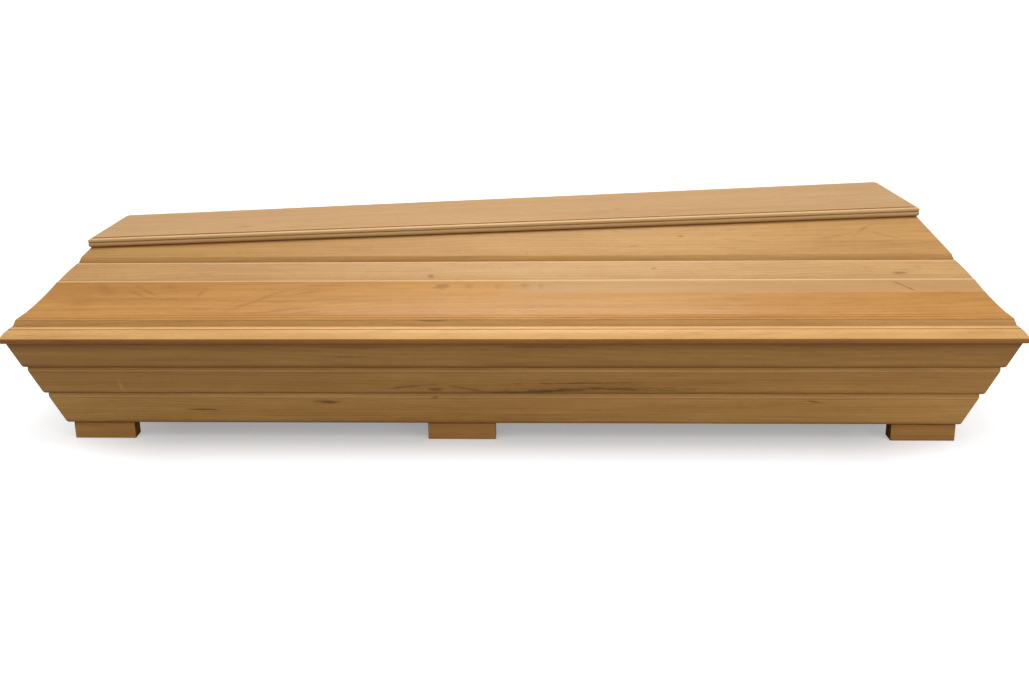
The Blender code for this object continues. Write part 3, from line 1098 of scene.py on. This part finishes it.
@dataclass
class Lid:
    """The loose lid: rim rail, cove boards, shoulder boards, upper boards and the top panel."""

    plan: Plan
    sweep: BoardSweep
    bottom: float
    wall: float = 0.026
    rim_edge: float = 0.0122
    rim_edge_ease: float = 0.0012
    rim_under_width: float = 0.0050
    rim_under_rise: float = 0.0066
    rim_slope_width: float = 0.014
    rim_slope_rise: float = 0.0148
    rim_slope_bulge: float = 0.0010
    rim_quirk_width: float = 0.0020
    rim_quirk_depth: float = 0.0020
    rim_lip_width: float = 0.0057
    rim_lip_rise: float = 0.0034
    rim_lip_foot: float = 0.0004
    rim_step_shade: Spot = (0.0005, 0.00126)
    rim_step_width: float = 0.0050
    rim_step_rise: float = 0.0126
    rim_rail_margin: float = 0.003
    bead_width: float = 0.0038
    bead_rise: float = 0.0030
    bead_bulge: float = 0.0008
    bead_quirk: float = 0.0004
    cove_width: float = 0.0583
    cove_rise: float = 0.0588
    cove_bend: float = math.radians(14.0)
    shoulder_ledge: float = 0.0018
    shoulder_width: float = 0.0305
    shoulder_rise: float = 0.0302
    shoulder_bend: float = math.radians(-11.0)
    upper_setback: float = 0.0020
    upper_edge_width: float = 0.0045
    upper_edge_rise: float = 0.0110
    upper_slope: float = 0.96
    panel_rise_foot: float = 0.0250
    panel_rise_head: float = 0.0815
    panel_thickness: float = 0.0200
    panel_overhang: float = 0.004
    panel_arris_setback: float = 0.009
    panel_quirk: float = 0.0022
    panel_bead_drop: float = 0.0078
    panel_groove: float = 0.0010
    panel_roll: float = 0.0034
    panel_roll_drop: float = 0.85
    panel_steps: int = 8
    hidden_reach: float = 0.004
    upper_shade: float = 0.005
    curve_steps: int = 24
    bead_steps: int = 8
    rim_steps: int = 10

    @property
    def panel_slope(self) -> float:
        """The panel's rise for each metre along the coffin."""
        return (self.panel_rise_head - self.panel_rise_foot) / self.plan.length

    def rim(self) -> tuple[Section, float, float]:
        """The rim rail: thin edge, round slope, quirk, lip and step, flat inside.

        Returns:
            The section, and where the cove boards start.
        """
        slope_top = self.bottom + self.rim_edge + self.rim_slope_rise
        lip = self.rim_slope_width + self.rim_quirk_width
        lip_end = lip + self.rim_lip_width
        lip_top = slope_top + self.rim_lip_rise
        top = lip_top + self.rim_step_rise
        cove = lip_end + self.rim_step_width
        inner = cove + self.wall + self.rim_rail_margin
        bend = bulge(self.rim_slope_width, self.rim_slope_rise, self.rim_slope_bulge)
        ease = self.rim_edge_ease
        edge_top = self.bottom + self.rim_edge
        quirk = slope_top - self.rim_quirk_depth
        shade = self.rim_step_shade
        under = (self.rim_under_width, self.bottom)
        round_under = arc(under, (0.0, self.bottom + self.rim_under_rise), -math.pi / 2, self.rim_steps)
        section = rear((inner, top), (inner, self.bottom))
        # Painted shade on the rounded underside and the front of the thin edge, together with a darker stain
        # there.
        section += [replace(point, stain_and_shade=1.0) for point in round_under]
        section.append(SectionPoint(0.0, edge_top - ease, stain_and_shade=0.85))
        section += arc((ease, edge_top), (self.rim_slope_width, slope_top), bend, self.rim_steps)
        # Painted shade in the quirk and on the upright step up to the cove; painted highlights on the lip's
        # arrises.
        section += [
            SectionPoint(self.rim_slope_width, quirk, stain_and_shade=1.0),
            SectionPoint(lip, quirk, stain_and_shade=1.0),
            SectionPoint(lip, slope_top + self.rim_lip_foot, 0.0006, stain_and_shade=0.5),
            SectionPoint(lip + ease, slope_top + ease, 0.0005, worn=0.10),
            SectionPoint(lip_end, lip_top, 0.0006, worn=0.05),
            SectionPoint(lip_end + shade[0], lip_top + shade[1], stain_and_shade=0.50),
            SectionPoint(cove, top, stain_and_shade=0.36),
        ]
        return section, cove, top

    def cove(self, start: float, bottom: float) -> tuple[Section, float, float]:
        """A cove board: two beads over the step, then a hollow curve up to a sharp edge.

        Args:
            start: Its inset at the foot.
            bottom: Its lower edge's height.

        Returns:
            The section, and its upper edge.
        """
        section: Section = []
        inset, height = start, bottom
        bend = bulge(self.bead_width, self.bead_rise, self.bead_bulge)
        for _ in range(2):
            finish = (inset + self.bead_width, height + self.bead_rise)
            section += arc((inset, height), finish, bend, self.bead_steps)
            inset = finish[0] + self.bead_quirk
            height = finish[1] - self.bead_quirk
            # Painted shade in each bead's quirk.
            section.append(SectionPoint(inset, height, stain_and_shade=0.10))
            inset += self.bead_quirk
            height += 2 * self.bead_quirk
        edge = (inset + self.cove_width, height + self.cove_rise)
        curve = arc((inset, height), edge, self.cove_bend, self.curve_steps)
        # Painted highlight on the cove's upper arris.
        section += [*curve[:-1], SectionPoint(*edge, 0.0020, worn=0.40)]
        section += self.closing((start, bottom), edge, self.shoulder_ledge)
        return section, edge[0], edge[1]

    def shoulder(self, start: float, bottom: float) -> tuple[Section, float, float]:
        """A shoulder board, which carries the cove on with a round curve.

        Args:
            start: Its inset at the foot.
            bottom: Its lower edge's height.

        Returns:
            The section, and its upper edge.
        """
        edge = (start + self.shoulder_width, bottom + self.shoulder_rise)
        curve = arc((start, bottom), edge, self.shoulder_bend, self.curve_steps)
        # Painted highlight on the shoulder's upper arris.
        section = [*curve[:-1], SectionPoint(*edge, 0.0018, worn=0.30)]
        section += self.closing((start, bottom), edge, self.upper_setback)
        return section, edge[0], edge[1]

    def closing(self, foot: Spot, edge: Spot, ledge: float) -> Section:
        """The top and the back of a curved board.

        Args:
            foot: Its lower edge.
            edge: Its upper edge.
            ledge: How much of its top the next board leaves open.

        Returns:
            The points that close its section.
        """
        hidden = SectionPoint(edge[0] + ledge + self.hidden_reach, edge[1])
        return [hidden, *rear((edge[0] + self.wall, edge[1]), (foot[0] + self.wall, foot[1]))]

    def panel_height(self, x: float, shoulder_top: float) -> float:
        """The height of the top panel's underside at a place along the coffin."""
        return shoulder_top + self.panel_slope * x + (self.panel_rise_foot + self.panel_rise_head) / 2

    def under_panel(self, end: End, inset: float, height: float, shoulder_top: float) -> Spot:
        """Where a sloping face meets the panel's underside on the mitre of one end.

        Args:
            end: Which end.
            inset: Where the face starts.
            height: How high it starts.
            shoulder_top: The shoulder boards' upper edge.

        Returns:
            The inset and the height of the meeting.
        """
        ratio = self.plan.ratio(end, True)
        x = end.value * (self.plan.length / 2 - inset * ratio)
        rise = self.panel_height(x, shoulder_top) - self.plan.gap - height
        climb = rise / (1 + end.value * self.panel_slope * ratio * self.upper_slope)
        return inset + self.upper_slope * climb, height + climb

    def upper(self, end: End, start: float, shoulder_top: float) -> tuple[Section, float]:
        """An upper board's section at one end.

        Args:
            end: Which end.
            start: Its inset at the foot.
            shoulder_top: The shoulder boards' upper edge.

        Returns:
            The section, and its inset under the panel.
        """
        bottom = shoulder_top + self.plan.gap
        arris = (start + self.upper_edge_width, bottom + self.upper_edge_rise)
        foot = arris[0] + self.wall - self.upper_slope * self.upper_edge_rise
        outer = self.under_panel(end, arris[0], arris[1], shoulder_top)
        inner = self.under_panel(end, foot, bottom, shoulder_top)
        # Painted shade at the board's lower edge, and painted shadow darkening the face up to the panel's
        # underside.
        shade = (outer[0] - self.upper_shade * self.upper_slope, outer[1] - self.upper_shade)
        section = [
            SectionPoint(start, bottom, 0.0004, stain_and_shade=0.30),
            SectionPoint(*arris, 0.0008),
            SectionPoint(*shade),
            SectionPoint(*outer, stain_and_shade=0.85),
            SectionPoint(*inner, 0.0, 1.0),
            *rear((foot, bottom)),
        ]
        return section, outer[0]

    def panel_profile(self) -> Section:
        """The panel's edge, from the top down.

        Returns:
            Points whose inset is a setback from the nose, and whose height is under the top face.
        """
        arris = self.panel_arris_setback
        quirk = self.panel_quirk
        roll = self.panel_roll
        groove = quirk + self.panel_bead_drop
        lower = self.panel_thickness - groove
        # Painted shade in the quirk under the top arris, in the groove and on the rounded underside; painted
        # highlights on the roll and on the bead round the groove.
        profile = [
            SectionPoint(arris + 0.0030, 0.0),
            SectionPoint(arris + 0.0006, 0.0, worn=0.12),
            SectionPoint(arris, 0.0006, stain_and_shade=0.3),
            SectionPoint(arris - 0.0002, quirk - 0.0003, stain_and_shade=0.8),
            SectionPoint(arris - 0.0006, quirk, stain_and_shade=0.8),
            SectionPoint(arris - 0.0026, quirk, stain_and_shade=0.3),
        ]
        for share, sin, cos in quarter_turn(self.panel_steps):
            depth = quirk + roll * (1 - cos) * self.panel_roll_drop
            profile.append(SectionPoint(roll * (1 - sin), depth, worn=0.50 - 0.20 * share))
        profile += [
            SectionPoint(0.0, groove - 0.0030, worn=0.22),
            SectionPoint(0.0003, groove - self.panel_groove, stain_and_shade=0.3),
            SectionPoint(self.panel_groove, groove - 0.0003, stain_and_shade=0.9),
            SectionPoint(self.panel_groove, groove + 0.0003, stain_and_shade=0.9),
            SectionPoint(0.0, groove + self.panel_groove, stain_and_shade=0.1),
            SectionPoint(0.0, groove + 0.0022, worn=0.3),
        ]
        for share, sin, cos in quarter_turn(self.panel_steps):
            depth = groove + lower / 2 + lower / 2 * sin
            profile.append(SectionPoint(lower / 2 * (1 - cos), depth, stain_and_shade=0.9 * share))
        return profile

    def panel(self, timber: Timber, top_insets: dict[End, float], shoulder_top: float,
              marks: tuple[Mark, ...]) -> None:
        """The sloping top panel, a little wider than the boards that carry it.

        Args:
            timber: Its wood.
            top_insets: The upper boards' insets under the panel, by end.
            shoulder_top: The shoulder boards' upper edge.
            marks: Its marks.
        """
        nose = {}
        for end in End:
            inset = top_insets[end]
            x = end.value * (self.plan.length / 2 - inset * self.plan.ratio(end, True))
            y = self.plan.half_width(x) - inset * self.plan.stretch
            nose[end] = (x + end.value * self.panel_overhang, y + self.panel_overhang)
        turn = (nose[End.HEAD][1] - nose[End.FOOT][1]) / (nose[End.HEAD][0] - nose[End.FOOT][0])
        profile = self.panel_profile()
        loops = []
        for point in profile:
            loop = []
            for end, side in CORNERS:
                x = nose[end][0] - end.value * point.inset
                y = nose[End.FOOT][1] + turn * (x - nose[End.FOOT][0]) - point.inset
                height = self.panel_height(x, shoulder_top) + self.panel_thickness - point.height
                loop.append((x, side.value * y, height))
            loops.append(loop)
        centre = (0.0, self.panel_height(0.0, shoulder_top))
        wood = timber.material("lid_top_panel_wood", random_cut(PANEL_SEED, centre, 0.0, marks, True))
        piece = lofted("lid_top_panel_wood", loops, wood, 0.0)
        for word in ("stain_and_shade", "worn"):
            paint(piece.data, word, [getattr(point, word) for point in profile for _ in CORNERS])
        hand_over(piece, "lid_top_panel")

    def build(self, timbers: dict[str, Timber], marks: dict[str, tuple[Mark, ...]]) -> None:
        """Builds the lid from the rim up.

        Args:
            timbers: Each row's wood, by its slot.
            marks: The front boards' marks, by row.
        """
        gap = self.plan.gap
        rim, inset, top = self.rim()
        cove, inset, top = self.cove(inset, top + gap)
        shoulder, inset, top = self.shoulder(inset + self.shoulder_ledge, top + gap)
        uppers = {end: self.upper(end, inset + self.upper_setback, top) for end in End}
        rows = (
            ("lid_rim", "lid_rim", dict.fromkeys(End, rim), 21),
            ("lid_cove_board", "lid_cove", dict.fromkeys(End, cove), 31),
            ("lid_shoulder_board", "lid_shoulder", dict.fromkeys(End, shoulder), 41),
            ("lid_upper_board", "lid_upper", {end: upper[0] for end, upper in uppers.items()}, 51),
        )
        for name, slot, sections, seed in rows:
            BoardFrame(self.plan, self.sweep, name, slot, timbers[slot], True, sections, seed,
                       marks[name]).build()
        insets = {end: upper[1] for end, upper in uppers.items()}
        self.panel(timbers["lid_panel"], insets, top, marks["lid_top_panel"])


@dataclass(frozen=True)
class Lamp:
    """A soft rectangular light: where it hangs, what it points at, its size and its watts."""

    name: str
    place: Rgb
    aim: Rgb
    size: Spot
    power: float

    def hang(self) -> None:
        """Hangs the light, out of the camera's sight."""
        data = bpy.data.lights.new(self.name, "AREA")
        data.shape = "RECTANGLE"
        data.size, data.size_y = self.size
        data.energy = self.power
        light = bpy.data.objects.new(self.name, data)
        light.location = self.place
        light.rotation_euler = (Vector(self.aim) - Vector(self.place)).to_track_quat("-Z", "Y").to_euler()
        light.visible_camera = False
        bpy.context.scene.collection.objects.link(light)


@dataclass
class Studio:
    """The plain pale floor, the soft light from overhead and the camera."""

    floor_radius: float = 70.0
    floor_tint: Rgb = (0.740, 0.765, 0.790)
    floor_drop: float = 0.0003
    floor_glow: float = 0.31
    outer_glow: float = 0.23
    outer_lengthwise: Spot = (0.70, 1.00)
    outer_across: Spot = (0.85, 1.60)
    floor_bounce: Rgb = (0.52, 0.51, 0.50)
    zenith: float = 1.13
    horizon: float = 0.17
    lamps: tuple[Lamp, ...] = (
        Lamp("softbox", (0.00, -0.32, 2.45), (0.05, 0.0, 0.3), (1.6, 1.2), 29.5),
        Lamp("fill", (1.9, -2.4, 0.60), (0.5, -0.3, 0.15), (1.2, 0.8), 13.0),
    )
    camera_place: Rgb = (0.0482, -2.5974, 0.9539)
    pitch: float = math.radians(17.305)
    yaw: float = math.radians(-0.639)
    roll: float = math.radians(0.945)
    lens: float = SENSOR_WIDTH * FOCAL_PIXELS / IMAGE_WIDTH
    far: float = 300.0

    def build(self) -> None:
        """Builds the floor, the light and the camera."""
        self.build_floor()
        self.build_light()
        self.build_camera()

    def build_floor(self) -> None:
        """Lays the floor under the blocks."""
        bm = bmesh.new()
        bmesh.ops.create_circle(bm, cap_ends=True, segments=64, radius=self.floor_radius)
        mesh = bpy.data.meshes.new("studio_floor")
        bm.to_mesh(mesh)
        bm.free()
        floor = bpy.data.objects.new("studio_floor", mesh)
        mesh.transform(Matrix.Translation((0.0, 0.0, -self.floor_drop)))
        material = bpy.data.materials.new("studio_floor")
        material.use_nodes = True
        sheet = NodeSheet(material.node_tree)
        place = sheet.node("ShaderNodeTexCoord").outputs["Object"]
        speck = sheet.noise(place, (40.0, 40.0, 40.0), 3.0)
        x, y, _ = (axis.math("ABSOLUTE", axis) for axis in sheet.split(place))
        outer = (x.between(*self.outer_lengthwise) + y.between(*self.outer_across)).clamped()
        white = sheet.node("ShaderNodeBsdfPrincipled", None, {
            "Base Color": (*self.floor_tint, 1.0),
            "Roughness": (speck - 0.5) * 0.1 + 0.8,
            "Specular IOR Level": 0.0,
            "Emission Color": outer * self.outer_glow + self.floor_glow,
            "Emission Strength": 1.0,
        })
        grey = sheet.node("ShaderNodeBsdfDiffuse", None, {"Color": (*self.floor_bounce, 1.0)})
        seen = sheet.node("ShaderNodeLightPath").outputs["Is Camera Ray"]
        shader = sheet.node("ShaderNodeMixShader", None, {0: seen, 1: grey.outputs[0], 2: white.outputs[0]})
        sheet.node("ShaderNodeOutputMaterial", None, {"Surface": shader.outputs[0]})
        mesh.materials.append(material)
        bpy.context.scene.collection.objects.link(floor)

    def build_light(self) -> None:
        """Lights the room from above, brightest overhead and dim at the horizon."""
        world = bpy.data.worlds.new("studio")
        world.use_nodes = True
        bpy.context.scene.world = world
        sheet = NodeSheet(world.node_tree)
        place = sheet.node("ShaderNodeTexCoord").outputs["Generated"]
        up = sheet.split(place)[2]
        glow = up.between(0.0, 1.0) * (self.zenith - self.horizon) + self.horizon
        light = sheet.node("ShaderNodeBackground", None, {"Color": glow, "Strength": 1.0})
        plain = sheet.node("ShaderNodeBackground", None, {"Color": (1.0, 1.0, 1.0, 1.0), "Strength": 1.0})
        seen = sheet.node("ShaderNodeLightPath").outputs["Is Camera Ray"]
        mixed = sheet.node("ShaderNodeMixShader", None, {0: seen, 1: light.outputs[0], 2: plain.outputs[0]})
        sheet.node("ShaderNodeOutputWorld", None, {"Surface": mixed.outputs[0]})
        for lamp in self.lamps:
            lamp.hang()
        scene = bpy.context.scene
        scene.view_settings.view_transform = "Standard"
        scene.view_settings.look = "None"

    def build_camera(self) -> None:
        """Sets the camera at the viewing angle that the coffin's own lines gave."""
        cos_p, sin_p = math.cos(self.pitch), math.sin(self.pitch)
        cos_y, sin_y = math.cos(self.yaw), math.sin(self.yaw)
        forward = Vector((sin_y * cos_p, cos_y * cos_p, -sin_p))
        level = Vector((cos_y, -sin_y, 0.0))
        down = forward.cross(level)
        right = level * math.cos(self.roll) + down * math.sin(self.roll)
        lower = down * math.cos(self.roll) - level * math.sin(self.roll)
        data = bpy.data.cameras.new("camera")
        data.lens = self.lens
        data.sensor_width = SENSOR_WIDTH
        data.sensor_fit = "HORIZONTAL"
        data.clip_end = self.far
        camera = bpy.data.objects.new("camera", data)
        turn = Matrix((right, -lower, -forward)).transposed()
        camera.matrix_world = Matrix.Translation(self.camera_place) @ turn.to_4x4()
        bpy.context.scene.collection.objects.link(camera)
        bpy.context.scene.camera = camera


TIMBERS = {
    # The body's rows step darker towards the top: partly painted shade under the lid's rim.
    "body_upper_board": Timber((0.400, 0.205, 0.050), (0.270, 0.122, 0.022), roughness=0.45, coat=0.03),
    "body_middle_board": Timber((0.480, 0.252, 0.068), (0.320, 0.150, 0.030), roughness=0.45, coat=0.03),
    "body_lower_board": Timber((0.615, 0.338, 0.104), (0.415, 0.202, 0.049), roughness=0.45, coat=0.03),
    "blocks": Timber((0.520, 0.258, 0.066), (0.340, 0.150, 0.030), roughness=0.46, coat=0.03),
    "floor": Timber((0.560, 0.350, 0.180), (0.420, 0.240, 0.110), roughness=0.55),
    "lid_rim": Timber((0.700, 0.395, 0.138), (0.520, 0.260, 0.074)),
    "lid_cove": Timber((0.560, 0.275, 0.064), (0.400, 0.168, 0.031)),
    "lid_shoulder": Timber((0.585, 0.348, 0.134), (0.435, 0.228, 0.076), roughness=0.46, coat=0.03),
    "lid_upper": Timber((0.525, 0.286, 0.088), (0.385, 0.186, 0.048), roughness=0.46, coat=0.03),
    "lid_panel": Timber((0.560, 0.338, 0.140), (0.435, 0.230, 0.078)),
}
KNOT, STREAK, SHADE, PALE, STRIP = MarkKind
MARKS = {
    "body_lower_board": (
        Mark(STREAK, -0.645, 0.072, 0.080, 0.005, -0.03, 0.80),
        Mark(STREAK, -0.370, 0.092, 0.070, 0.012, -0.05, 0.80),
        Mark(STREAK, 0.640, 0.094, 0.036, 0.004, -0.20, 0.70),
        Mark(KNOT, -0.145, 0.104, 0.018, 0.007, 0.0, 0.80),
        Mark(SHADE, 0.227, 0.056, 0.060, 0.010, 0.05, 0.50),
    ),
    "body_middle_board": (
        Mark(SHADE, 0.120, 0.128, 0.560, 0.024, 0.015, 0.60),
        Mark(STREAK, 0.090, 0.122, 0.200, 0.010, 0.045, 0.90),
        Mark(STREAK, 0.220, 0.127, 0.170, 0.007, -0.02, 0.75),
        Mark(STREAK, 0.165, 0.141, 0.340, 0.005, 0.012, 0.75),
        Mark(KNOT, 0.010, 0.119, 0.160, 0.008, 0.01, 0.65),
        Mark(KNOT, -0.078, 0.127, 0.085, 0.008, -0.20, 0.70),
        Mark(KNOT, -0.200, 0.132, 0.130, 0.006, 0.11, 0.75),
        Mark(KNOT, -0.140, 0.125, 0.040, 0.010, 0.0, 0.85),
        Mark(KNOT, 0.330, 0.124, 0.200, 0.005, 0.03, 0.50),
        Mark(KNOT, 0.292, 0.128, 0.150, 0.005, 0.03, 0.50),
        Mark(KNOT, 0.430, 0.140, 0.110, 0.004, 0.08, 0.40),
        Mark(PALE, -0.805, 0.133, 0.038, 0.010, 1.75, 0.40),
        Mark(KNOT, -0.760, 0.158, 0.016, 0.006, 0.0, 0.50),
    ),
    "body_upper_board": (
        Mark(STREAK, 0.084, 0.230, 0.190, 0.005, 0.0, 0.50),
        Mark(KNOT, 0.000, 0.214, 0.120, 0.004, 0.02, 0.35),
        Mark(KNOT, -0.310, 0.206, 0.160, 0.005, 0.0, 0.50),
        Mark(KNOT, -0.290, 0.229, 0.200, 0.008, 0.0, 0.40),
    ),
    "lid_rim": (
        Mark(KNOT, -0.145, 0.281, 0.075, 0.005, 0.0, 0.60),
    ),
    "lid_cove_board": (
        Mark(STRIP, 0.480, 0.3368, 1.000, 0.0245, 0.0, 0.50),
        Mark(KNOT, -0.127, 0.336, 0.034, 0.009, 0.10, 0.50),
        Mark(SHADE, -0.069, 0.337, 0.026, 0.012, 0.0, 0.60),
        Mark(SHADE, -0.010, 0.337, 0.020, 0.012, 0.0, 0.50),
        Mark(SHADE, 0.045, 0.337, 0.028, 0.012, 0.0, 0.60),
        Mark(SHADE, 0.078, 0.337, 0.018, 0.012, 0.0, 0.50),
        Mark(SHADE, -0.874, 0.312, 0.070, 0.026, 0.0, 0.45),
        Mark(SHADE, -0.826, 0.334, 0.060, 0.020, -0.30, 0.65),
        Mark(SHADE, -0.740, 0.331, 0.070, 0.006, -0.36, 0.75),
        Mark(SHADE, -0.756, 0.325, 0.052, 0.005, -0.33, 0.60),
        Mark(SHADE, -0.690, 0.337, 0.040, 0.014, 0.10, 0.55),
        Mark(SHADE, -0.624, 0.326, 0.036, 0.008, 0.67, 0.65),
        Mark(SHADE, -0.508, 0.312, 0.160, 0.006, 0.26, 0.70),
        Mark(SHADE, -0.488, 0.320, 0.096, 0.005, 0.26, 0.55),
        Mark(SHADE, -0.448, 0.298, 0.220, 0.005, 0.08, 0.65),
        Mark(SHADE, -0.412, 0.294, 0.150, 0.004, 0.06, 0.60),
        Mark(SHADE, -0.406, 0.326, 0.140, 0.005, 0.12, 0.55),
        Mark(KNOT, 0.806, 0.335, 0.052, 0.003, -0.36, 0.65),
    ),
    "lid_shoulder_board": (
        Mark(KNOT, -0.148, 0.354, 0.018, 0.009, 0.0, 0.60),
        Mark(KNOT, 0.308, 0.366, 0.014, 0.004, 0.0, 0.50),
        Mark(KNOT, 0.798, 0.357, 0.036, 0.005, 0.0, 0.60),
        Mark(SHADE, 0.840, 0.367, 0.024, 0.012, 0.0, 0.40),
    ),
    "lid_upper_board": (
        Mark(KNOT, 0.368, 0.422, 0.016, 0.005, 0.0, 0.60),
        Mark(KNOT, 0.272, 0.405, 0.026, 0.003, 0.0, 0.35),
        Mark(SHADE, 0.740, 0.432, 0.064, 0.006, 0.50, 0.60),
        Mark(SHADE, 0.775, 0.424, 0.090, 0.005, -0.20, 0.55),
        Mark(SHADE, 0.752, 0.437, 0.080, 0.005, 0.35, 0.50),
        Mark(SHADE, 0.680, 0.420, 0.100, 0.006, 0.16, 0.50),
    ),
    "lid_top_panel": (
        Mark(KNOT, -0.555, -0.070, 0.050, 0.022, 0.0, 0.30),
        Mark(KNOT, 0.245, -0.046, 0.020, 0.022, 0.0, 0.35),
        Mark(KNOT, 0.660, -0.225, 0.026, 0.014, 0.0, 0.70),
    ),
}


def main() -> None:
    """Builds the coffin's parts in order, then the studio."""
    logging.basicConfig(level=logging.INFO, format="%(message)s", stream=sys.stdout)
    plan = Plan()
    sweep = BoardSweep()
    body = Body(plan, sweep)
    body.build(TIMBERS, MARKS)
    LOG.info("body done")
    Lid(plan, sweep, body.top + plan.gap).build(TIMBERS, MARKS)
    LOG.info("lid done")
    Studio().build()


if __name__ == "__main__":
    main()
